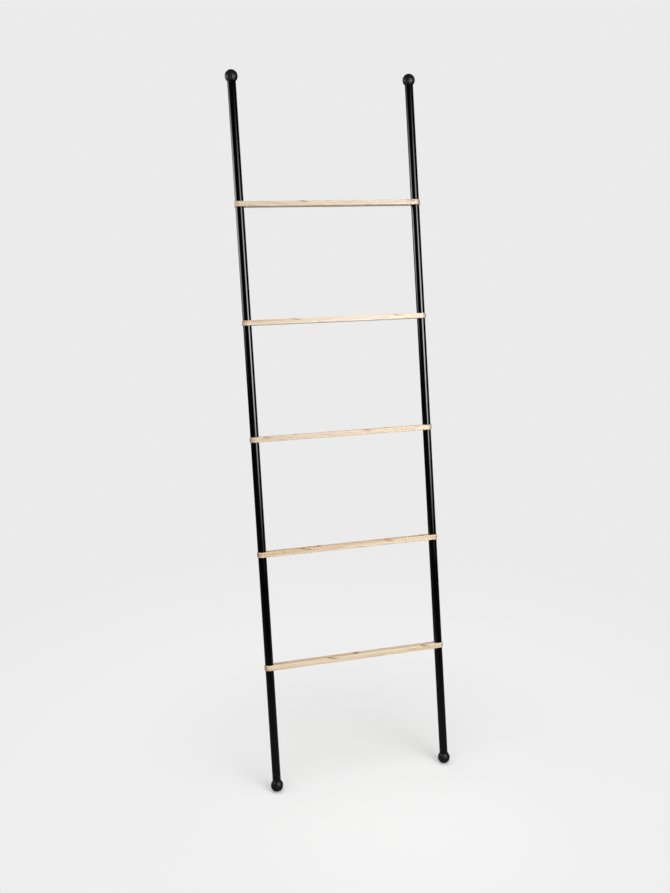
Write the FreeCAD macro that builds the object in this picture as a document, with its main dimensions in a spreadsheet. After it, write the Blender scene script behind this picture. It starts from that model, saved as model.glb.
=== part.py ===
"""Leaning blanket ladder: two black tube rails, five wooden slat rungs and a ball on every rail end.

The rails are knock-down: each is a row of tube sections, with one rung clamped between each two
sections. A stud runs through the rung into a threaded insert in the end of each tube, and a
short stud holds each ball. The ladder stands as it is used, on its two foot balls, leaning back
towards a wall on the +Y side.

Frame, in millimetres: +X along the rungs to the right, +Y back towards the wall, +Z up. The origin
is on the floor, midway between the points where the two foot balls touch it. Each piece is drawn
upright at its own origin and then placed along its rail, whose line starts at the centre of the
foot ball. Rungs and sections are counted from the floor up.
"""

import FreeCAD, Part
import Sketcher
import math
import os

# Driving dimensions: alias, value in millimetres (the angle in degrees), what it is.
DIMENSIONS = [
    ("lean_angle", 12.5, "how far the rails lean back from upright, in degrees"),
    ("rail_spacing", 434, "from one rail's centre line to the other's"),
    ("rung_count", 5, "how many rungs there are"),
    ("tube_diameter", 20, "rail tube, outside"),
    ("tube_wall", 1.2, "rail tube, wall"),
    ("section_length", 263, "rail tube between two rungs"),
    ("end_section_length", 275, "rail tube between a ball and the rung next to it"),
    ("tube_end_chamfer", 0.3, "broken outer edge at each end of a tube"),
    ("rung_depth", 24, "slat, front to back"),
    ("rung_thickness", 12, "slat, along the rail"),
    ("rung_edge_radius", 1, "eased long edges of a slat"),
    ("ball_diameter", 30, "ball on each rail end"),
    ("stud_diameter", 8, "joint and ball studs, over the thread"),
    ("stud_end_chamfer", 0.8, "lead-in at each end of a stud"),
    ("stud_reach", 12, "how far a stud goes into a tube insert"),
    ("ball_stud_reach", 10, "how far a ball's stud goes into the ball"),
    ("insert_length", 15, "threaded plug in a tube's end"),
    ("insert_end_chamfer", 0.5, "lead-in at each end of an insert"),
    ("press_clearance", 0.05, "insert to tube bore, on the radius"),
    ("thread_clearance", 0.05, "stud to a threaded bore, on the radius"),
    ("stud_hole_clearance", 0.25, "stud to the hole through a rung, on the radius"),
    ("ball_bore_spare", 1, "ball bore beyond the end of its stud"),
]

# Worked out from the driving dimensions.
TUBE_BORE = "(Sizes.tube_diameter - 2 * Sizes.tube_wall)"
THREAD_BORE = "(Sizes.stud_diameter + 2 * Sizes.thread_clearance)"
PITCH = "(Sizes.section_length + Sizes.rung_thickness)"
# The ball's flat is as wide as the tube that seats on it, so it lies this far from the ball's centre.
BALL_SEAT = "(sqrt(Sizes.ball_diameter ^ 2 - Sizes.tube_diameter ^ 2) / 2)"
FIRST_RUNG = f"({BALL_SEAT} + Sizes.end_section_length)"
LAST_RUNG = f"({FIRST_RUNG} + (Sizes.rung_count - 1) * {PITCH})"
RAIL_LENGTH = f"({LAST_RUNG} + Sizes.rung_thickness + Sizes.end_section_length + {BALL_SEAT})"

SIDES = {"left": "-Sizes.rail_spacing / 2", "right": "Sizes.rail_spacing / 2"}
OUT = "parts"


def make_sheet(doc):
    """Spreadsheet with one row for each driving dimension."""
    sheet = doc.addObject("Spreadsheet::Sheet", "Sizes")
    for row, (alias, value, meaning) in enumerate(DIMENSIONS, start=1):
        sheet.set(f"A{row}", alias.replace("_", " "))
        sheet.set(f"B{row}", str(value))
        sheet.set(f"C{row}", meaning)
        sheet.setAlias(f"B{row}", alias)
    doc.recompute()
    return sheet


def size(doc, expression):
    """What an expression in the sheet's aliases comes to."""
    return float(doc.Sizes.evalExpression(expression))


def vector(x, y):
    """Point in a sketch."""
    return FreeCAD.Vector(x, y, 0)


def new_sketch(body, name, role):
    """Empty sketch on the body's own origin plane of that role."""
    plane = next(o for o in body.Origin.OriginFeatures if o.Role == role)
    sketch = body.newObject("Sketcher::SketchObject", name)
    sketch.AttachmentSupport = [(plane, "")]
    sketch.MapMode = "FlatFace"
    return sketch


def numbered(where):
    """Sketcher's own numbers for curves, and for the words that name points and axes."""
    words = {
        "start": [1],
        "end": [2],
        "centre": [3],
        "origin": [-1, 1],
        "x axis": [-1],
        "y axis": [-2],
    }
    return [number for spot in where for number in words.get(spot, [spot])]


def dimension(sketch, name, expression, kind, *where):
    """Constraint of the sketch whose value follows the expression."""
    value = size(sketch.Document, expression)
    index = sketch.addConstraint(Sketcher.Constraint(kind, *numbered(where), value))
    sketch.renameConstraint(index, name)
    sketch.setExpression(f"Constraints.{name}", expression)


def relate(sketch, kind, *where):
    """Constraint of the sketch that has no value."""
    sketch.addConstraint(Sketcher.Constraint(kind, *numbered(where)))


def circle(sketch, name, diameter):
    """Circle about the sketch's origin."""
    radius = size(sketch.Document, diameter) / 2
    index = sketch.addGeometry(Part.Circle(vector(0, 0), FreeCAD.Vector(0, 0, 1), radius))
    relate(sketch, "Coincident", index, "centre", "origin")
    dimension(sketch, name, diameter, "Diameter", index)


def pad(body, name, sketch, length):
    """Sketch raised to the given length."""
    feature = body.newObject("PartDesign::Pad", name)
    feature.Profile = sketch
    feature.setExpression("Length", length)
    sketch.Visibility = False
    body.Document.recompute()
    return feature


def rims(feature, diameter):
    """Names of the feature's full circles of that diameter."""
    radius = size(feature.Document, diameter) / 2
    return [
        f"Edge{number}"
        for number, edge in enumerate(feature.Shape.Edges, start=1)
        if isinstance(edge.Curve, Part.Circle) and math.isclose(edge.Curve.Radius, radius)
    ]


def level_edges(feature):
    """Names of the feature's edges that lie level: the two outlines of a flat piece."""
    return [
        f"Edge{number}"
        for number, edge in enumerate(feature.Shape.Edges, start=1)
        if math.isclose(edge.Vertexes[0].Z, edge.Vertexes[-1].Z)
    ]


def chamfer(body, feature, edges, width):
    """Broken edges of the given width."""
    cut = body.newObject("PartDesign::Chamfer", f"{body.Name}_chamfer")
    cut.Base = (feature, edges)
    cut.setExpression("Size", width)
    body.Document.recompute()


def place(body, across, along, turn=0):
    """Puts a piece on the ladder: across it, then along the rail's line, turned about the rungs' line."""
    back = f"{along} * sin(Sizes.lean_angle * 1deg)"
    up = f"Sizes.ball_diameter / 2 + {along} * cos(Sizes.lean_angle * 1deg)"
    point = f"vector({across}; {back}; {up})"
    body.setExpression("Placement", f"placement({point}; rotationx({turn} - Sizes.lean_angle))")


def rung_start(number):
    """Where a rung starts along the rails."""
    return f"({FIRST_RUNG} + {number - 1} * {PITCH})"


def section_start(number):
    """Where a tube section starts along its rail: at the foot ball, or on top of the rung below it."""
    if number == 1:
        return BALL_SEAT
    return f"({rung_start(number - 1)} + Sizes.rung_thickness)"


def section_length(doc, number):
    """How long a tube section is: the first and last of a rail differ from those between rungs."""
    last = int(size(doc, "Sizes.rung_count")) + 1
    return "Sizes.end_section_length" if number in (1, last) else "Sizes.section_length"


def make_round(doc, name, length, outside, bore, edge):
    """Round piece: a rod, or a tube if it has a bore, with its outer rims chamfered."""
    body = doc.addObject("PartDesign::Body", name)
    sketch = new_sketch(body, f"{name}_section", "XY_Plane")
    circle(sketch, "outside", outside)
    if bore:
        circle(sketch, "bore", bore)
    rod = pad(body, f"{name}_rod", sketch, length)
    chamfer(body, rod, rims(rod, outside), edge)
    return body


def make_section(doc, side, number):
    """One length of rail tube."""
    body = make_round(
        doc,
        f"{side}_rail_section_{number}",
        length=section_length(doc, number),
        outside="Sizes.tube_diameter",
        bore=TUBE_BORE,
        edge="Sizes.tube_end_chamfer",
    )
    place(body, SIDES[side], section_start(number))
    return body


def make_inserts(doc, side, number):
    """The two threaded plugs in the ends of one tube section."""
    start = section_start(number)
    starts = {
        "lower": start,
        "upper": f"({start} + {section_length(doc, number)} - Sizes.insert_length)",
    }
    inserts = []
    for end, along in starts.items():
        body = make_round(
            doc,
            f"{side}_section_{number}_{end}_insert",
            length="Sizes.insert_length",
            outside=f"({TUBE_BORE} - 2 * Sizes.press_clearance)",
            bore=THREAD_BORE,
            edge="Sizes.insert_end_chamfer",
        )
        place(body, SIDES[side], along)
        inserts.append(body)
    return inserts


def make_stud(doc, side, name, length, along):
    """Threaded stud, drawn at its thread's outside diameter."""
    body = make_round(
        doc,
        f"{side}_{name}",
        length=length,
        outside="Sizes.stud_diameter",
        bore=None,
        edge="Sizes.stud_end_chamfer",
    )
    place(body, SIDES[side], along)
    return body


def make_joint_stud(doc, side, number):
    """Stud through one end of a rung, from the tube below it into the tube above."""
    return make_stud(
        doc,
        side,
        f"joint_stud_{number}",
        length="Sizes.rung_thickness + 2 * Sizes.stud_reach",
        along=f"({rung_start(number)} - Sizes.stud_reach)",
    )


def make_ball_stud(doc, side, end):
    """Stud that holds the foot or the top ball on its tube."""
    starts = {
        "foot": f"({BALL_SEAT} - Sizes.ball_stud_reach)",
        "top": f"({RAIL_LENGTH} - {BALL_SEAT} - Sizes.stud_reach)",
    }
    return make_stud(
        doc,
        side,
        f"{end}_ball_stud",
        length="Sizes.ball_stud_reach + Sizes.stud_reach",
        along=starts[end],
    )


def ball_profile(body):
    """Half outline of a ball: its round from the pole to the flat, the flat, and the bore in it."""
    doc = body.Document
    radius = size(doc, "Sizes.ball_diameter / 2")
    flat = size(doc, "Sizes.tube_diameter / 2")
    bore = size(doc, f"{THREAD_BORE} / 2")
    seat = size(doc, BALL_SEAT)
    floor = seat - size(doc, "Sizes.ball_stud_reach + Sizes.ball_bore_spare")

    sketch = new_sketch(body, f"{body.Name}_profile", "XZ_Plane")
    whole = Part.Circle(vector(0, 0), FreeCAD.Vector(0, 0, 1), radius)
    outline = [(flat, seat), (bore, seat), (bore, floor), (0, floor), (0, -radius)]
    sketch.addGeometry(Part.ArcOfCircle(whole, -math.pi / 2, math.atan2(seat, flat)))
    for start, end in zip(outline, outline[1:]):
        sketch.addGeometry(Part.LineSegment(vector(*start), vector(*end)))
    round_, face, wall, bottom, axis = range(5)

    relate(sketch, "Coincident", round_, "centre", "origin")
    relate(sketch, "Coincident", round_, "end", face, "start")
    relate(sketch, "Coincident", face, "end", wall, "start")
    relate(sketch, "Coincident", wall, "end", bottom, "start")
    relate(sketch, "Coincident", bottom, "end", axis, "start")
    relate(sketch, "Coincident", axis, "end", round_, "start")
    relate(sketch, "Horizontal", face)
    relate(sketch, "Vertical", wall)
    relate(sketch, "Horizontal", bottom)
    relate(sketch, "Vertical", axis)
    relate(sketch, "PointOnObject", axis, "start", "y axis")
    dimension(sketch, "ball", "Sizes.ball_diameter", "Diameter", round_)
    dimension(sketch, "flat", "Sizes.tube_diameter / 2", "DistanceX", "origin", face, "start")
    dimension(sketch, "bore", f"{THREAD_BORE} / 2", "DistanceX", "origin", wall, "start")
    depth = "Sizes.ball_stud_reach + Sizes.ball_bore_spare"
    dimension(sketch, "depth", depth, "DistanceY", wall, "end", wall, "start")
    return sketch


def make_ball(doc, side, end):
    """Ball on a rail's end, with its flat and bore towards the tube."""
    body = doc.addObject("PartDesign::Body", f"{side}_{end}_ball")
    sketch = ball_profile(body)
    turned = body.newObject("PartDesign::Revolution", f"{body.Name}_turned")
    turned.Profile = sketch
    turned.ReferenceAxis = (sketch, ["V_Axis"])
    turned.Angle = 360
    sketch.Visibility = False
    if end == "foot":
        place(body, SIDES[side], "0")
    else:
        place(body, SIDES[side], RAIL_LENGTH, turn=180)
    return body


def rung_outline(body):
    """Slat seen from above: two long edges and two half-round ends, centred on the rails' lines."""
    doc = body.Document
    half = size(doc, "Sizes.rail_spacing / 2")
    radius = size(doc, "Sizes.rung_depth / 2")
    sketch = new_sketch(body, f"{body.Name}_outline", "XY_Plane")
    up = FreeCAD.Vector(0, 0, 1)
    right_end = Part.Circle(vector(half, 0), up, radius)
    left_end = Part.Circle(vector(-half, 0), up, radius)
    sketch.addGeometry(Part.LineSegment(vector(-half, radius), vector(half, radius)))
    sketch.addGeometry(Part.ArcOfCircle(right_end, -math.pi / 2, math.pi / 2))
    sketch.addGeometry(Part.LineSegment(vector(half, -radius), vector(-half, -radius)))
    sketch.addGeometry(Part.ArcOfCircle(left_end, math.pi / 2, 3 * math.pi / 2))
    rear, right, front, left = range(4)

    relate(sketch, "Tangent", rear, "end", right, "end")
    relate(sketch, "Tangent", right, "start", front, "start")
    relate(sketch, "Tangent", front, "end", left, "end")
    relate(sketch, "Tangent", left, "start", rear, "start")
    relate(sketch, "Horizontal", rear)
    relate(sketch, "Equal", right, left)
    relate(sketch, "Symmetric", left, "centre", right, "centre", "origin")
    dimension(sketch, "spacing", "Sizes.rail_spacing", "DistanceX", left, "centre", right, "centre")
    dimension(sketch, "depth", "Sizes.rung_depth", "Diameter", right)
    return sketch


def stud_holes(body):
    """The two round holes that the joint studs pass through."""
    doc = body.Document
    half = size(doc, "Sizes.rail_spacing / 2")
    diameter = "Sizes.stud_diameter + 2 * Sizes.stud_hole_clearance"
    radius = size(doc, diameter) / 2
    sketch = new_sketch(body, f"{body.Name}_hole_places", "XY_Plane")
    for across in (-half, half):
        sketch.addGeometry(Part.Circle(vector(across, 0), FreeCAD.Vector(0, 0, 1), radius))
    left, right = range(2)
    relate(sketch, "Equal", left, right)
    relate(sketch, "PointOnObject", left, "centre", "x axis")
    relate(sketch, "Symmetric", left, "centre", right, "centre", "origin")
    dimension(sketch, "spacing", "Sizes.rail_spacing", "DistanceX", left, "centre", right, "centre")
    dimension(sketch, "hole", diameter, "Diameter", left)
    return sketch


def make_rung(doc, number):
    """Wooden slat with eased edges and a stud hole on each rail's line."""
    body = doc.addObject("PartDesign::Body", f"rung_{number}")
    slat = pad(body, f"{body.Name}_slat", rung_outline(body), "Sizes.rung_thickness")

    eased = body.newObject("PartDesign::Fillet", f"{body.Name}_eased")
    eased.Base = (slat, level_edges(slat))
    eased.setExpression("Radius", "Sizes.rung_edge_radius")
    doc.recompute()

    places = stud_holes(body)
    holes = body.newObject("PartDesign::Pocket", f"{body.Name}_holes")
    holes.Profile = places
    holes.Type = "ThroughAll"
    holes.Reversed = True
    places.Visibility = False
    doc.recompute()
    if not holes.Shape.Volume < eased.Shape.Volume:
        raise RuntimeError(f"the stud holes of {body.Name} cut nothing")
    place(body, "0", rung_start(number))
    return body


def make_ladder(doc):
    """Every piece of the ladder, from the floor up."""
    rungs = int(size(doc, "Sizes.rung_count"))
    pieces = [make_rung(doc, number) for number in range(1, rungs + 1)]
    for side in SIDES:
        for number in range(1, rungs + 2):
            pieces.append(make_section(doc, side, number))
            pieces.extend(make_inserts(doc, side, number))
        for number in range(1, rungs + 1):
            pieces.append(make_joint_stud(doc, side, number))
        for end in ("foot", "top"):
            pieces.append(make_ball(doc, side, end))
            pieces.append(make_ball_stud(doc, side, end))
    return pieces


def check(doc, pieces):
    """Stops if any object failed, or any piece isn't one valid solid."""
    failed = [o.Label for o in doc.Objects if {"Invalid", "Error"} & set(o.State)]
    if failed:
        raise RuntimeError(f"these objects failed to build: {failed}")
    for piece in pieces:
        shape = piece.Shape
        if shape.isNull() or not shape.isValid() or len(shape.Solids) != 1:
            raise RuntimeError(f"{piece.Label} isn't one valid solid")


def main():
    doc = FreeCAD.newDocument("BlanketLadder")
    make_sheet(doc)
    pieces = make_ladder(doc)
    doc.recompute()
    check(doc, pieces)
    os.makedirs(OUT, exist_ok=True)
    for piece in pieces:
        piece.Shape.exportStep(os.path.join(OUT, f"{piece.Label}.step"))
    whole = Part.makeCompound([piece.Shape for piece in pieces]).BoundBox
    print(f"{len(pieces)} pieces, {whole.XLength:.1f} x {whole.YLength:.1f} x {whole.ZLength:.1f} mm")


main()
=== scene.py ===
"""Finishes for the blanket ladder's parts, and the plain studio that it is seen in.

Every part of the ladder is modelled in CAD and arrives with the frame, in metres: +X along the rungs,
+Y back towards the wall, +Z up. The operators here give each group of parts its material, set the
stage and place the camera.
"""

import bmesh
import bpy
import math
from mathutils import Euler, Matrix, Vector


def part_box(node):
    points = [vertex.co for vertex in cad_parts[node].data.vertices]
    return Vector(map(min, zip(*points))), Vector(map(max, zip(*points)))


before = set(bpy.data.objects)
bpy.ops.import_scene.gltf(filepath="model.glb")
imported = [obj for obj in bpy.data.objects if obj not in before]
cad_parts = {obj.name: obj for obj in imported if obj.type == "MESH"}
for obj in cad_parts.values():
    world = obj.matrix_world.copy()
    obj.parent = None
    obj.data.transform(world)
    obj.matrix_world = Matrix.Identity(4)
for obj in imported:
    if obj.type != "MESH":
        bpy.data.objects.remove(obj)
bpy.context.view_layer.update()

bl_info = {
    "name": "Blanket Ladder Finishes",
    "version": (1, 0, 0),
    "blender": (4, 5, 0),
    "location": "3D View > Sidebar > Ladder",
    "description": "Materials for a leaning blanket ladder, and a plain studio to see it in",
    "category": "Object",
}

MM_PER_M = 1000.0
RUNGS = 5
RUNG_DEPTH_MM = 24.0
RUNG_THICKNESS_MM = 12.0
LAYERS = 3

# How the pieces of a bamboo strip meet, in millimetres: the length of the slanted cut on which they
# overlap, how far the fibres carry that cut to and fro, how far a strip's joints lie from those of the
# strip in front, and the length after which they repeat.
LAP_MM = 16.0
SWAY_MM = 5.0
STRIP_SHIFT_MM = 170.0
REPEAT_MM = 480.0

# Where one piece of bamboo ends and the next begins along a front strip, in millimetres from the middle
# of the rung. Keys are the rung, counted from the floor, and the layer, counted from the underside.
STRIP_JOINTS = {
    (1, 1): (66, 232), (1, 2): (-225, 140), (1, 3): (-61, 180),
    (2, 1): (-205, 30), (2, 2): (-20, 215), (2, 3): (-112, 101),
    (3, 1): (-150, 205), (3, 2): (-38, 170), (3, 3): (-190, 60),
    (4, 1): (-40, 175), (4, 2): (-200, 120), (4, 3): (-102, 150),
    (5, 1): (-188, 90), (5, 2): (-130, 40), (5, 3): (-66, 200),
}

# Most values of a noise texture lie between these.
NOISE_LOW = 0.3
NOISE_HIGH = 0.7
# Length of one band of a wave texture whose scale is 1, in metres.
WAVE_BAND = math.tau / 20


def linear(colour):
    """Scene-linear RGB of an sRGB hex colour."""
    channels = [int(colour[i:i + 2], 16) / 255 for i in (1, 3, 5)]
    return [c / 12.92 if c <= 0.04045 else ((c + 0.055) / 1.055) ** 2.4 for c in channels]


def opaque(colour):
    """The colour with an alpha of one, as colour sockets take it."""
    return (*colour, 1.0)


def parts_named(word):
    """The frame's nodes whose names hold the word."""
    return [part for name, part in sorted(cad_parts.items()) if word in name]


def centre(node):
    """Middle of a CAD node's box, in metres."""
    low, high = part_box(node)
    return (low + high) / 2


def rail_direction():
    """Vector from the middle of the lowest rung to the middle of the highest, in metres."""
    return centre(f"rung_{RUNGS}") - centre("rung_1")


# ---------------------------------------------------------------- node trees


def new_material(name):
    """Empty node material."""
    material = bpy.data.materials.new(name)
    material.use_nodes = True
    material.node_tree.nodes.clear()
    return material


def add(tree, kind, inputs=None, **settings):
    """Node with its settings, and its inputs set to values or linked to other nodes' outputs."""
    node = tree.nodes.new(kind)
    for name, value in settings.items():
        setattr(node, name, value)
    for key, value in (inputs or {}).items():
        socket = next(s for i, s in enumerate(node.inputs) if s.enabled and key in (i, s.name))
        if isinstance(value, bpy.types.Node):
            value = next(s for s in value.outputs if s.enabled)
        if isinstance(value, bpy.types.NodeSocket):
            tree.links.new(value, socket)
        else:
            socket.default_value = value
    return node


def finish_parts(parts, material):
    """Puts the material in every slot of the parts."""
    for part in parts:
        for slot in part.material_slots:
            slot.material = material


# ---------------------------------------------------------------- settings


class LadderFinishSettings(bpy.types.PropertyGroup):
    """Colours and texture sizes of the ladder's parts."""

    coat_colour: bpy.props.FloatVectorProperty(
        name="Powder coat",
        description="Colour of the powder coat on the rail tubes",
        subtype="COLOR",
        size=3,
        min=0.0,
        max=1.0,
        default=linear("#040404"),
    )
    coat_ripple: bpy.props.FloatProperty(
        name="Orange peel",
        description="Distance from one ripple of the powder coat to the next",
        default=0.0018,
        min=0.0002,
        unit="LENGTH",
        subtype="DISTANCE",
    )
    ball_colour: bpy.props.FloatVectorProperty(
        name="Ball plastic",
        description="Colour of the moulded balls",
        subtype="COLOR",
        size=3,
        min=0.0,
        max=1.0,
        default=linear("#0E0E0F"),
    )
    ball_grain: bpy.props.FloatProperty(
        name="Ball grain",
        description="Size of the grain that the mould leaves on the balls",
        default=0.0005,
        min=0.0001,
        unit="LENGTH",
        subtype="DISTANCE",
    )
    bamboo_pale: bpy.props.FloatVectorProperty(
        name="Bamboo, pale",
        description="Palest tone of the bamboo strips",
        subtype="COLOR",
        size=3,
        min=0.0,
        max=1.0,
        default=linear("#F2E7D6"),
    )
    bamboo_straw: bpy.props.FloatVectorProperty(
        name="Bamboo, straw",
        description="Yellow tone that some of the bamboo strips have",
        subtype="COLOR",
        size=3,
        min=0.0,
        max=1.0,
        default=linear("#E5D3A2"),
    )
    bamboo_dark: bpy.props.FloatVectorProperty(
        name="Bamboo, dark",
        description="Darkest tone of the bamboo strips",
        subtype="COLOR",
        size=3,
        min=0.0,
        max=1.0,
        default=linear("#DFB38A"),
    )
    bamboo_joint: bpy.props.FloatVectorProperty(
        name="Cane joint",
        description="Brown of the cane's joints and strands, and of the rungs' end grain",
        subtype="COLOR",
        size=3,
        min=0.0,
        max=1.0,
        default=linear("#AC7752"),
    )
    wood_batch: bpy.props.FloatProperty(
        name="Wood batch",
        description="Number that picks the tone of each piece of bamboo",
        default=5.0,
    )
    strip_width: bpy.props.FloatProperty(
        name="Strip",
        description="Width of one bamboo strip in a layer",
        default=0.020,
        min=0.004,
        unit="LENGTH",
        subtype="DISTANCE",
    )
    thread_pitch: bpy.props.FloatProperty(
        name="Thread pitch",
        description="Pitch of the thread on the studs",
        default=0.00125,
        min=0.0002,
        unit="LENGTH",
        subtype="DISTANCE",
    )
    turning_pitch: bpy.props.FloatProperty(
        name="Turning marks",
        description="Distance between the fine rings that turning leaves on the inserts",
        default=0.0004,
        min=0.0001,
        unit="LENGTH",
        subtype="DISTANCE",
    )


class LadderStageSettings(bpy.types.PropertyGroup):
    """Floor, lamps and camera."""

    ground_colour: bpy.props.FloatVectorProperty(
        name="Ground",
        description="Colour that the camera sees behind the ladder, and on the floor away from its feet",
        subtype="COLOR",
        size=3,
        min=0.0,
        max=1.0,
        default=linear("#EBEBEB"),
    )
    floor_colour: bpy.props.FloatVectorProperty(
        name="Floor paint",
        description="Colour of the floor's paint, where it keeps the shadow",
        subtype="COLOR",
        size=3,
        min=0.0,
        max=1.0,
        default=linear("#F6F6F6"),
    )
    floor_gloss: bpy.props.FloatProperty(
        name="Floor in reflections",
        description="Share of the floor's brightness that glossy surfaces show",
        default=0.18,
        min=0.0,
        max=1.0,
    )
    floor_size: bpy.props.FloatProperty(
        name="Floor",
        description="Length of each side of the floor",
        default=40.0,
        min=4.0,
        unit="LENGTH",
        subtype="DISTANCE",
    )
    key_radiance: bpy.props.FloatProperty(
        name="Key softbox",
        description="Brightness of the middle of the softbox at the front right, where 1 is white",
        default=14.7,
        min=0.0,
    )
    foot_radiance: bpy.props.FloatProperty(
        name="Foot softbox",
        description="Brightness of the middle of the softbox aimed at the feet, where 1 is white",
        default=0.8,
        min=0.0,
    )
    side_radiance: bpy.props.FloatProperty(
        name="Side panel",
        description="Brightness of the middle of the panel at the left, where 1 is white",
        default=6.7,
        min=0.0,
    )
    top_radiance: bpy.props.FloatProperty(
        name="Top panel",
        description="Brightness of the middle of the panel overhead, where 1 is white",
        default=2.65,
        min=0.0,
    )
    fill: bpy.props.FloatProperty(
        name="Fill",
        description="Brightness of the room all round, where 1 is white",
        default=0.06,
        min=0.0,
    )
    room_gloss: bpy.props.FloatProperty(
        name="Room in reflections",
        description="Brightness of the room as glossy surfaces show it, where 1 is white",
        default=0.02,
        min=0.0,
    )
    camera_place: bpy.props.FloatVectorProperty(
        name="Camera place",
        description="Where the camera stands",
        subtype="TRANSLATION",
        unit="LENGTH",
        size=3,
        default=(-0.635, -2.006, 1.465),
    )
    camera_yaw: bpy.props.FloatProperty(
        name="Camera yaw",
        description="How far the camera looks to the right of straight ahead",
        default=math.radians(15.71),
        unit="ROTATION",
        subtype="ANGLE",
    )
    camera_pitch: bpy.props.FloatProperty(
        name="Camera pitch",
        description="How far the camera looks down",
        default=math.radians(16.18),
        unit="ROTATION",
        subtype="ANGLE",
    )
    camera_lens: bpy.props.FloatProperty(
        name="Camera lens",
        description="Focal length for a 36 mm frame, in millimetres",
        default=39.27,
        min=10.0,
    )


# ---------------------------------------------------------------- finishes


def powder_coated_steel(settings):
    """Semi-gloss powder coat on steel tube.

    The cured powder is a near-black film with a soft gloss: lights show as clear streaks along the
    tube with slightly soft edges, and close up a faint orange peel makes them waver.
    """
    material = new_material("powder_coated_steel_semi_gloss_black")
    tree = material.node_tree
    place = add(tree, "ShaderNodeTexCoord").outputs["Object"]
    ripples = add(tree, "ShaderNodeTexNoise", {
        "Vector": place,
        "Scale": 1 / settings.coat_ripple,
        "Detail": 2.0,
        "Roughness": 0.4,
    })
    # Handling leaves the coat duller and shinier in patches 29 mm across.
    handled = add(tree, "ShaderNodeTexNoise", {
        "Vector": place,
        "Scale": MM_PER_M / 28.6,
        "Detail": 3.0,
    })
    roughness = add(tree, "ShaderNodeMapRange", {
        "Value": handled,
        "From Min": NOISE_LOW,
        "From Max": NOISE_HIGH,
        "To Min": 0.07,
        "To Max": 0.11,
    })
    relief = add(tree, "ShaderNodeBump", {"Height": ripples, "Strength": 0.03, "Distance": 0.0001})
    coat = add(tree, "ShaderNodeBsdfPrincipled", {
        "Base Color": opaque(settings.coat_colour),
        "Roughness": roughness,
        "IOR": 1.5,
        "Normal": relief,
    })
    add(tree, "ShaderNodeOutputMaterial", {"Surface": coat})
    return material


def moulded_plastic(settings):
    """Satin black moulded plastic.

    The mould's fine grain spreads each light into a broad, soft patch that rolls round the ball,
    and the black is a little greyer than the tubes' coat.
    """
    material = new_material("moulded_plastic_satin_black")
    tree = material.node_tree
    place = add(tree, "ShaderNodeTexCoord").outputs["Object"]
    grain = add(tree, "ShaderNodeTexNoise", {
        "Vector": place,
        "Scale": 1 / settings.ball_grain,
        "Detail": 2.0,
    })
    # Hands rub the grain down in patches 11 mm across.
    rubbed = add(tree, "ShaderNodeTexNoise", {
        "Vector": place,
        "Scale": MM_PER_M / 11.1,
        "Detail": 3.0,
    })
    roughness = add(tree, "ShaderNodeMapRange", {
        "Value": rubbed,
        "From Min": NOISE_LOW,
        "From Max": NOISE_HIGH,
        "To Min": 0.44,
        "To Max": 0.54,
    })
    relief = add(tree, "ShaderNodeBump", {"Height": grain, "Strength": 0.25, "Distance": 0.00006})
    plastic = add(tree, "ShaderNodeBsdfPrincipled", {
        "Base Color": opaque(settings.ball_colour),
        "Roughness": roughness,
        "IOR": 1.5,
        "Normal": relief,
    })
    add(tree, "ShaderNodeOutputMaterial", {"Surface": plastic})
    return material


def slat_coordinates(tree):
    """Point in the slat's own directions, in millimetres: from its middle, its front and its underside.

    Rungs lie a whole pitch apart along the rails, so the third number gives the rung as well.
    """
    rise = rail_direction()
    lean = math.atan2(rise.y, rise.z)
    turn = Euler((lean, 0, 0)).to_matrix()
    middle = turn @ centre("rung_1") * MM_PER_M
    corner = Vector((0, RUNG_DEPTH_MM / 2, RUNG_THICKNESS_MM / 2))
    return add(tree, "ShaderNodeMapping", {
        "Vector": add(tree, "ShaderNodeTexCoord").outputs["Object"],
        "Location": corner - middle,
        "Rotation": (lean, 0, 0),
        "Scale": (MM_PER_M, MM_PER_M, MM_PER_M),
    }, vector_type="POINT")


def joint_table(tree, index, which):
    """Place of the first or second joint of a front strip, looked up by the strip's index."""
    ramp = add(tree, "ShaderNodeValToRGB", {"Fac": index})
    ramp.color_ramp.interpolation = "CONSTANT"
    # A new ramp has a stop at each end. The first is kept, and each strip's place is a grey from 0 to 1.
    stops = ramp.color_ramp.elements
    stops.remove(stops[1])
    for number, key in enumerate(sorted(STRIP_JOINTS)):
        stop = stops.new(number / len(STRIP_JOINTS)) if number else stops[0]
        grey = STRIP_JOINTS[key][which] / MM_PER_M + 0.5
        stop.color = (grey, grey, grey, 1.0)
    return add(tree, "ShaderNodeMath", {
        0: ramp,
        1: MM_PER_M,
        2: -MM_PER_M / 2,
    }, operation="MULTIPLY_ADD")


def wood_noise(tree, point, size, detail):
    """Noise whose cells have the given length, depth and height in millimetres."""
    return add(tree, "ShaderNodeTexNoise", {
        "Vector": add(tree, "ShaderNodeVectorMath", {0: point, 1: size}, operation="DIVIDE"),
        "Scale": 1.0,
        "Detail": detail,
    })


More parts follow.
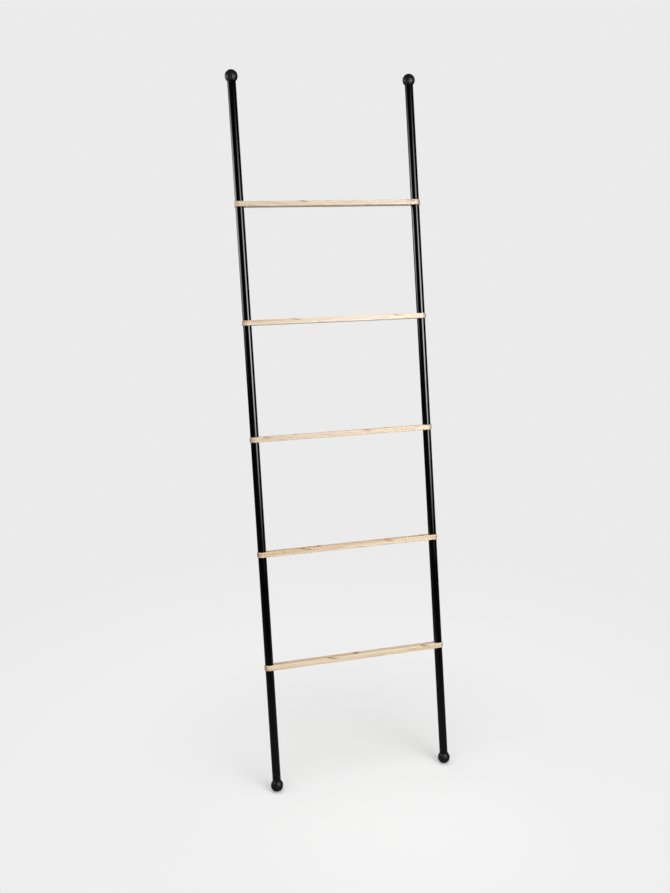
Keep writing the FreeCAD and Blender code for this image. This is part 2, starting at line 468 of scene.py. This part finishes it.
def laminated_bamboo(settings):
    """Pale bamboo strips glued in three layers and sanded, under a clear satin lacquer.

    Long straight fibres run the length of each slat, with the cane's strands as fine brown dashes.
    Each strip is made of pieces that overlap on a slant, each with its own tone, and a short brown
    mark shows where they meet. The rounded ends show the fibres end on and are darker, partly end
    grain and partly painted shade, and the lacquer lies over it all as a soft sheen.
    """
    material = new_material("laminated_bamboo_satin_lacquer")
    tree = material.node_tree
    pitch = rail_direction().length / (RUNGS - 1) * MM_PER_M
    strip_mm = settings.strip_width * MM_PER_M
    # Layers are 1 % thicker than the real ones and start a hair outside the slat, so that its outer
    # faces lie inside the first layer and the last.
    layer_mm = RUNG_THICKNESS_MM / LAYERS * 1.01
    hair_mm = 0.05

    point = slat_coordinates(tree)
    inset = add(tree, "ShaderNodeVectorMath", {0: point, 1: (0, hair_mm, hair_mm)}, operation="ADD")
    length, depth, climb = add(tree, "ShaderNodeSeparateXYZ", {"Vector": inset}).outputs

    # Which rung, layer and strip a point is in, as the place where each starts. Layers are staggered.
    rung = add(tree, "ShaderNodeMath", {0: climb, 1: pitch}, operation="SNAP")
    height = add(tree, "ShaderNodeMath", {0: climb, 1: rung}, operation="SUBTRACT")
    layer = add(tree, "ShaderNodeMath", {0: height, 1: layer_mm}, operation="SNAP")
    staggered = add(tree, "ShaderNodeMath", {
        0: layer,
        1: strip_mm / LAYERS / layer_mm,
        2: depth,
    }, operation="MULTIPLY_ADD")
    strip = add(tree, "ShaderNodeMath", {0: staggered, 1: strip_mm}, operation="SNAP")
    strip_start = add(tree, "ShaderNodeCombineXYZ", {"X": rung, "Y": strip, "Z": layer})

    # Joints of the front strips stand where the table says, and those behind are moved along.
    wavy = wood_noise(tree, point, (30, 3, 3), 2.0)
    swayed = add(tree, "ShaderNodeMath", {0: wavy, 1: SWAY_MM, 2: length}, operation="MULTIPLY_ADD")
    shifted = add(tree, "ShaderNodeMath", {
        0: strip,
        1: STRIP_SHIFT_MM / strip_mm,
        2: swayed,
    }, operation="MULTIPLY_ADD")
    # Each joint climbs a layer in the length of its lap, with its middle where the table says.
    within = add(tree, "ShaderNodeMath", {0: height, 1: layer}, operation="SUBTRACT")
    slanted = add(tree, "ShaderNodeMath", {
        0: within,
        1: LAP_MM / layer_mm,
        2: shifted,
    }, operation="MULTIPLY_ADD")
    centred = add(tree, "ShaderNodeMath", {0: slanted, 1: (LAP_MM + SWAY_MM) / 2}, operation="SUBTRACT")
    along = add(tree, "ShaderNodeMath", {
        0: centred,
        1: REPEAT_MM / 2,
        2: -REPEAT_MM / 2,
    }, operation="WRAP")

    # The strip's place in the table, as a share of the table's length.
    before = add(tree, "ShaderNodeVectorMath", {
        0: strip_start,
        1: (1 / pitch / RUNGS, 0, 1 / layer_mm / len(STRIP_JOINTS)),
    }, operation="DOT_PRODUCT")
    index = add(tree, "ShaderNodeMath", {
        0: before.outputs["Value"],
        1: 0.5 / len(STRIP_JOINTS),
    }, operation="ADD")

    # How far a point is past each of the strip's two joints, how far it is from the nearer, and
    # which of the strip's pieces it is in.
    past = [add(tree, "ShaderNodeMath", {
        0: along,
        1: joint_table(tree, index, which),
    }, operation="SUBTRACT") for which in (0, 1)]
    near = [add(tree, "ShaderNodeMath", {0: gap}, operation="ABSOLUTE") for gap in past]
    joint = add(tree, "ShaderNodeMath", {0: near[0], 1: near[1]}, operation="MINIMUM")
    passed = [add(tree, "ShaderNodeMath", {0: gap, 1: 0.0}, operation="GREATER_THAN") for gap in past]
    piece = add(tree, "ShaderNodeMath", {0: passed[0], 1: passed[1]}, operation="ADD")

    own = add(tree, "ShaderNodeTexWhiteNoise", {
        "Vector": strip_start,
        "W": add(tree, "ShaderNodeMath", {0: piece, 1: settings.wood_batch}, operation="ADD"),
    }, noise_dimensions="4D")
    # Each piece has grain from elsewhere in the cane, up to 900 mm along it and 90 mm across.
    moved = add(tree, "ShaderNodeVectorMath", {
        0: own.outputs["Color"],
        1: (900, 90, 90),
        2: point,
    }, operation="MULTIPLY_ADD")

    # Fibres are half a millimetre apart. They are drawn a millimetre apart, so that they show, and
    # bundles of them stand up a little under the lacquer.
    fibres = wood_noise(tree, moved, (90, 1, 1), 3.0)
    bundles = wood_noise(tree, moved, (45, 1.5, 1.2), 1.0)
    bands = wood_noise(tree, moved, (160, 8, 4), 1.0)
    # A piece's own tone, its fibres and its broad bands each have a share in how dark it is.
    mixed = add(tree, "ShaderNodeCombineXYZ", {"X": own.outputs["Value"], "Y": fibres, "Z": bands})
    tone = add(tree, "ShaderNodeVectorMath", {0: mixed, 1: (0.7, 0.3, 0.9)}, operation="DOT_PRODUCT")
    wood = add(tree, "ShaderNodeMix", {
        "Factor": add(tree, "ShaderNodeMapRange", {
            "Value": tone.outputs["Value"],
            "From Min": 0.5,
            "From Max": 1.4,
        }),
        "A": opaque(settings.bamboo_pale),
        "B": opaque(settings.bamboo_dark),
    }, data_type="RGBA")
    # Up to half of a piece's colour is straw yellow.
    hues = add(tree, "ShaderNodeSeparateColor", {"Color": own.outputs["Color"]})
    wood = add(tree, "ShaderNodeMix", {
        "Factor": add(tree, "ShaderNodeMapRange", {
            "Value": hues.outputs["Green"],
            "From Min": 0.2,
            "From Max": 0.8,
            "To Min": 0.0,
            "To Max": 0.5,
        }),
        "A": wood,
        "B": opaque(settings.bamboo_straw),
    }, data_type="RGBA")

    # A joint is brown for 3 mm to each side of the cut and pale again by 8 mm, in a halo of 16 mm.
    line = add(tree, "ShaderNodeMapRange", {
        "Value": joint,
        "From Min": 3.0,
        "From Max": 8.0,
        "To Min": 0.9,
        "To Max": 0.0,
    }, interpolation_type="SMOOTHSTEP")
    halo = add(tree, "ShaderNodeMapRange", {
        "Value": joint,
        "From Min": 1.0,
        "From Max": 16.0,
        "To Min": 0.45,
        "To Max": 0.0,
    }, interpolation_type="SMOOTHSTEP")
    joints = add(tree, "ShaderNodeMath", {0: line, 1: halo}, operation="MAXIMUM")
    # The brown joints of the cane were laid to the top layer, and show less in the two below.
    browned = add(tree, "ShaderNodeMapRange", {
        "Value": layer,
        "From Min": layer_mm,
        "From Max": 2 * layer_mm,
        "To Min": 0.4,
        "To Max": 1.0,
    })
    marks = add(tree, "ShaderNodeMath", {0: joints, 1: browned}, operation="MULTIPLY")
    # The cane's own strands show as fine brown dashes, up to 20 mm long and half a millimetre wide.
    strands = add(tree, "ShaderNodeMapRange", {
        "Value": wood_noise(tree, moved, (20, 0.7, 0.7), 1.0),
        "From Min": 0.58,
        "From Max": 0.7,
        "To Min": 0.0,
        "To Max": 0.3,
    })
    marks = add(tree, "ShaderNodeMath", {0: marks, 1: strands}, operation="MAXIMUM")
    # End grain drinks the lacquer, so it has three quarters of the joints' brown where the surface
    # faces along the slat. This darkening is part real end grain and part painted shade on the rounded
    # ends.
    facing = add(tree, "ShaderNodeSeparateXYZ", {
        "Vector": add(tree, "ShaderNodeTexCoord").outputs["Normal"],
    })
    end_on = add(tree, "ShaderNodeMath", {
        0: facing.outputs["X"],
        1: facing.outputs["X"],
    }, operation="MULTIPLY")
    end_grain_and_shade = add(tree, "ShaderNodeMath", {0: end_on, 1: 0.75}, operation="MULTIPLY")
    marks = add(tree, "ShaderNodeMath", {0: marks, 1: end_grain_and_shade}, operation="MAXIMUM")
    colour = add(tree, "ShaderNodeMix", {
        "Factor": marks,
        "A": wood,
        "B": opaque(settings.bamboo_joint),
    }, data_type="RGBA")

    sheen = add(tree, "ShaderNodeMapRange", {
        "Value": fibres,
        "From Min": NOISE_LOW,
        "From Max": NOISE_HIGH,
        "To Min": 0.42,
        "To Max": 0.52,
    })
    relief = add(tree, "ShaderNodeBump", {"Height": bundles, "Strength": 0.02, "Distance": 0.00008})
    lacquered = add(tree, "ShaderNodeBsdfPrincipled", {
        "Base Color": colour,
        "Roughness": sheen,
        "IOR": 1.5,
        "Coat Weight": 0.2,
        "Coat Roughness": 0.3,
        "Coat IOR": 1.5,
        "Normal": relief,
    })
    add(tree, "ShaderNodeOutputMaterial", {"Surface": lacquered})
    return material


def rail_coordinates(tree):
    """Point with its third number along the rails, in metres."""
    rise = rail_direction()
    return add(tree, "ShaderNodeMapping", {
        "Vector": add(tree, "ShaderNodeTexCoord").outputs["Object"],
        "Rotation": (math.atan2(rise.y, rise.z), 0, 0),
    }, vector_type="POINT")


def zinc_plated_steel(settings):
    """Bright zinc plate on rolled threads.

    A cool, pale metal whose thread shows as fine even rings round the stud.
    """
    material = new_material("zinc_plated_steel_rolled_thread")
    tree = material.node_tree
    thread = add(tree, "ShaderNodeTexWave", {
        "Vector": rail_coordinates(tree),
        "Scale": WAVE_BAND / settings.thread_pitch,
    }, bands_direction="Z", wave_profile="TRI")
    # Passivation leaves the plate mottled, in patches of 2.5 mm.
    mottle = add(tree, "ShaderNodeTexNoise", {
        "Vector": add(tree, "ShaderNodeTexCoord").outputs["Object"],
        "Scale": MM_PER_M / 2.5,
        "Detail": 2.0,
    })
    roughness = add(tree, "ShaderNodeMapRange", {"Value": mottle, "To Min": 0.25, "To Max": 0.4})
    relief = add(tree, "ShaderNodeBump", {"Height": thread, "Strength": 0.8, "Distance": 0.0006})
    plated = add(tree, "ShaderNodeBsdfPrincipled", {
        "Base Color": opaque(linear("#C9CCD1")),
        "Metallic": 1.0,
        "Roughness": roughness,
        "Normal": relief,
    })
    add(tree, "ShaderNodeOutputMaterial", {"Surface": plated})
    return material


def turned_steel(settings):
    """Plain steel bar turned on a lathe.

    A mid-grey metal with very fine rings that the tool leaves round it.
    """
    material = new_material("turned_steel_plain")
    tree = material.node_tree
    rings = add(tree, "ShaderNodeTexWave", {
        "Vector": rail_coordinates(tree),
        "Scale": WAVE_BAND / settings.turning_pitch,
    }, bands_direction="Z", wave_profile="SIN")
    relief = add(tree, "ShaderNodeBump", {"Height": rings, "Strength": 0.3, "Distance": 0.00003})
    steel = add(tree, "ShaderNodeBsdfPrincipled", {
        "Base Color": opaque(linear("#A9AAAC")),
        "Metallic": 1.0,
        "Roughness": 0.32,
        "Normal": relief,
    })
    add(tree, "ShaderNodeOutputMaterial", {"Surface": steel})
    return material


class LADDER_OT_coat_rails(bpy.types.Operator):
    """Coats the rail tubes."""

    bl_idname = "ladder.coat_rails"
    bl_label = "Coat Rail Tubes"

    def execute(self, context):
        settings = context.scene.ladder_finish
        finish_parts(parts_named("rail_section"), powder_coated_steel(settings))
        return {"FINISHED"}


class LADDER_OT_finish_balls(bpy.types.Operator):
    """Gives the foot and top balls their moulded finish."""

    bl_idname = "ladder.finish_balls"
    bl_label = "Finish Balls"

    def execute(self, context):
        settings = context.scene.ladder_finish
        balls = [b for b in parts_named("_ball") if "stud" not in b.name]
        finish_parts(balls, moulded_plastic(settings))
        return {"FINISHED"}


class LADDER_OT_finish_rungs(bpy.types.Operator):
    """Gives the rungs their laminated bamboo and lacquer."""

    bl_idname = "ladder.finish_rungs"
    bl_label = "Finish Rungs"

    def execute(self, context):
        settings = context.scene.ladder_finish
        finish_parts(parts_named("rung_"), laminated_bamboo(settings))
        return {"FINISHED"}


class LADDER_OT_plate_studs(bpy.types.Operator):
    """Plates the joint and ball studs."""

    bl_idname = "ladder.plate_studs"
    bl_label = "Plate Studs"

    def execute(self, context):
        settings = context.scene.ladder_finish
        finish_parts(parts_named("stud"), zinc_plated_steel(settings))
        return {"FINISHED"}


class LADDER_OT_turn_inserts(bpy.types.Operator):
    """Gives the tube inserts their turned steel."""

    bl_idname = "ladder.turn_inserts"
    bl_label = "Turn Inserts"

    def execute(self, context):
        settings = context.scene.ladder_finish
        finish_parts(parts_named("insert"), turned_steel(settings))
        return {"FINISHED"}


# ---------------------------------------------------------------- stage


def lay_floor(settings):
    """Large pale floor that keeps the ladder's soft shadow and fades into the ground colour."""
    mesh = bpy.data.meshes.new("floor")
    sheet = bmesh.new()
    bmesh.ops.create_grid(sheet, x_segments=1, y_segments=1, size=settings.floor_size / 2)
    sheet.to_mesh(mesh)
    sheet.free()
    floor = bpy.data.objects.new("floor", mesh)
    bpy.context.scene.collection.objects.link(floor)

    material = new_material("floor_matt_white_paint")
    tree = material.node_tree
    away = add(tree, "ShaderNodeVectorMath", {
        0: add(tree, "ShaderNodeTexCoord").outputs["Object"],
    }, operation="LENGTH")
    # The camera sees mostly lit paint at the feet and only the ground colour from 0.8 m out, so the
    # floor has no horizon. The ground colour is 5 % brighter round the feet: a painted pool of light.
    plain = add(tree, "ShaderNodeMapRange", {
        "Value": away.outputs["Value"],
        "From Min": 0.0,
        "From Max": 0.8,
        "To Min": 0.1,
        "To Max": 1.0,
    }, interpolation_type="SMOOTHSTEP")
    painted_light_pool = add(tree, "ShaderNodeMapRange", {
        "Value": away.outputs["Value"],
        "From Min": 0.5,
        "From Max": 1.5,
        "To Min": 1.05,
        "To Max": 1.0,
    }, interpolation_type="SMOOTHSTEP")
    path = add(tree, "ShaderNodeLightPath")
    seen = add(tree, "ShaderNodeMath", {
        0: plain,
        1: path.outputs["Is Camera Ray"],
    }, operation="MULTIPLY")
    # Glossy rays see the paint darker: painted shade in reflections, so the black tubes show the floor
    # dim.
    colour = add(tree, "ShaderNodeMix", {
        "Factor": path.outputs["Is Glossy Ray"],
        "A": opaque(settings.floor_colour),
        "B": opaque([channel * settings.floor_gloss for channel in settings.floor_colour]),
    }, data_type="RGBA")
    paint = add(tree, "ShaderNodeBsdfDiffuse", {"Color": colour})
    ground = add(tree, "ShaderNodeEmission", {"Color": opaque(settings.ground_colour), "Strength": painted_light_pool})
    shown = add(tree, "ShaderNodeMixShader", {0: seen, 1: paint, 2: ground})
    add(tree, "ShaderNodeOutputMaterial", {"Surface": shown})
    mesh.materials.append(material)


def light_room(settings):
    """World: the ground colour for the camera, a dim room in reflections, and a soft fill."""
    world = bpy.data.worlds.new("studio")
    world.use_nodes = True
    world.node_tree.nodes.clear()
    tree = world.node_tree
    path = add(tree, "ShaderNodeLightPath")
    fill = add(tree, "ShaderNodeBackground", {"Color": (1, 1, 1, 1), "Strength": settings.fill})
    dim = add(tree, "ShaderNodeBackground", {"Color": (1, 1, 1, 1), "Strength": settings.room_gloss})
    ground = add(tree, "ShaderNodeBackground", {"Color": opaque(settings.ground_colour), "Strength": 1.0})
    room = add(tree, "ShaderNodeMixShader", {0: path.outputs["Is Glossy Ray"], 1: fill, 2: dim})
    shown = add(tree, "ShaderNodeMixShader", {0: path.outputs["Is Camera Ray"], 1: room, 2: ground})
    add(tree, "ShaderNodeOutputWorld", {"Surface": shown})
    bpy.context.scene.world = world


def hang_lamp(name, place, target, width, height, radiance):
    """Rectangular softbox that faces the target, with the radiance in its middle and faded edges.

    A lamp's power is its radiance times pi times its area.
    """
    lamp = bpy.data.lights.new(name, "AREA")
    lamp.shape = "RECTANGLE"
    lamp.size = width
    lamp.size_y = height
    lamp.energy = radiance * math.pi * width * height
    lamp.use_nodes = True
    tree = lamp.node_tree
    tree.nodes.clear()
    # The cloth in front is brightest in the middle: half a sine wave each way, squared.
    across = add(tree, "ShaderNodeVectorMath", {
        0: add(tree, "ShaderNodeNewGeometry").outputs["Parametric"],
        1: (math.pi, math.pi, 0),
    }, operation="MULTIPLY")
    waves = add(tree, "ShaderNodeSeparateXYZ", {
        "Vector": add(tree, "ShaderNodeVectorMath", {0: across}, operation="SINE"),
    })
    middle = add(tree, "ShaderNodeMath", {
        0: waves.outputs["X"],
        1: waves.outputs["Y"],
    }, operation="MULTIPLY")
    face = add(tree, "ShaderNodeEmission", {
        "Color": (1, 1, 1, 1),
        "Strength": add(tree, "ShaderNodeMath", {0: middle, 1: 2.0}, operation="POWER"),
    })
    add(tree, "ShaderNodeOutputLight", {"Surface": face})
    holder = bpy.data.objects.new(name, lamp)
    holder.location = place
    holder.rotation_euler = (Vector(target) - Vector(place)).to_track_quat("-Z", "Y").to_euler()
    bpy.context.scene.collection.objects.link(holder)
    return holder


def place_camera(settings):
    """Camera at the place and angle that the ladder is pictured from."""
    camera = bpy.data.cameras.new("camera")
    camera.lens = settings.camera_lens
    camera.sensor_width = 36.0
    holder = bpy.data.objects.new("camera", camera)
    holder.location = settings.camera_place
    holder.rotation_euler = (math.pi / 2 - settings.camera_pitch, 0, -settings.camera_yaw)
    bpy.context.scene.collection.objects.link(holder)
    bpy.context.scene.camera = holder


class LADDER_OT_set_stage(bpy.types.Operator):
    """Sets the floor, the room, the lamps and the camera."""

    bl_idname = "ladder.set_stage"
    bl_label = "Set Stage"

    def execute(self, context):
        settings = context.scene.ladder_stage
        lay_floor(settings)
        light_room(settings)
        # Only reflections show these two softboxes, as streaks down the tubes.
        key = hang_lamp(
            "key_softbox", place=(0.7, -1.05, 1.45), target=(0, 0.25, 1.2),
            width=1.4, height=2.0, radiance=settings.key_radiance,
        )
        side = hang_lamp(
            "side_panel", place=(-1.6, 0.9, 1.5), target=(0, 0.3, 1.3),
            width=2.2, height=1.4, radiance=settings.side_radiance,
        )
        for lamp in (key, side):
            lamp.visible_diffuse = False
        # These two light the surfaces and don't show in reflections: a softbox with a grid that keeps
        # its light to the feet, and a big panel overhead.
        foot = hang_lamp(
            "foot_softbox", place=(0.72, -1.18, 1.15), target=(-0.05, 0.2, -0.1),
            width=2.6, height=2.6, radiance=settings.foot_radiance,
        )
        foot.data.spread = math.radians(70)
        top = hang_lamp(
            "top_panel", place=(-0.5, -0.3, 2.9), target=(0, 0.1, 0),
            width=6.5, height=6.5, radiance=settings.top_radiance,
        )
        for lamp in (foot, top):
            lamp.visible_glossy = False
        place_camera(settings)
        context.scene.view_settings.view_transform = "Standard"
        return {"FINISHED"}


# ---------------------------------------------------------------- add-on


class LADDER_PT_finishes(bpy.types.Panel):
    """Lists the ladder's finishes and stage."""

    bl_idname = "LADDER_PT_finishes"
    bl_label = "Blanket Ladder"
    bl_space_type = "VIEW_3D"
    bl_region_type = "UI"
    bl_category = "Ladder"

    def draw(self, context):
        for heading, settings, operators in (
            ("Finishes", context.scene.ladder_finish, FINISH_OPERATORS),
            ("Stage", context.scene.ladder_stage, (LADDER_OT_set_stage,)),
        ):
            box = self.layout.box()
            box.label(text=heading)
            for name in settings.__annotations__:
                box.prop(settings, name)
            for operator in operators:
                box.operator(operator.bl_idname)


FINISH_OPERATORS = (
    LADDER_OT_coat_rails,
    LADDER_OT_finish_balls,
    LADDER_OT_finish_rungs,
    LADDER_OT_plate_studs,
    LADDER_OT_turn_inserts,
)
CLASSES = (
    LadderFinishSettings,
    LadderStageSettings,
    *FINISH_OPERATORS,
    LADDER_OT_set_stage,
    LADDER_PT_finishes,
)


def register():
    for cls in CLASSES:
        bpy.utils.register_class(cls)
    bpy.types.Scene.ladder_finish = bpy.props.PointerProperty(type=LadderFinishSettings)
    bpy.types.Scene.ladder_stage = bpy.props.PointerProperty(type=LadderStageSettings)


def unregister():
    del bpy.types.Scene.ladder_stage
    del bpy.types.Scene.ladder_finish
    for cls in reversed(CLASSES):
        bpy.utils.unregister_class(cls)


def main():
    register()
    bpy.ops.ladder.set_stage()
    bpy.ops.ladder.coat_rails()
    bpy.ops.ladder.finish_balls()
    bpy.ops.ladder.finish_rungs()
    bpy.ops.ladder.plate_studs()
    bpy.ops.ladder.turn_inserts()


if __name__ == "__main__":
    main()
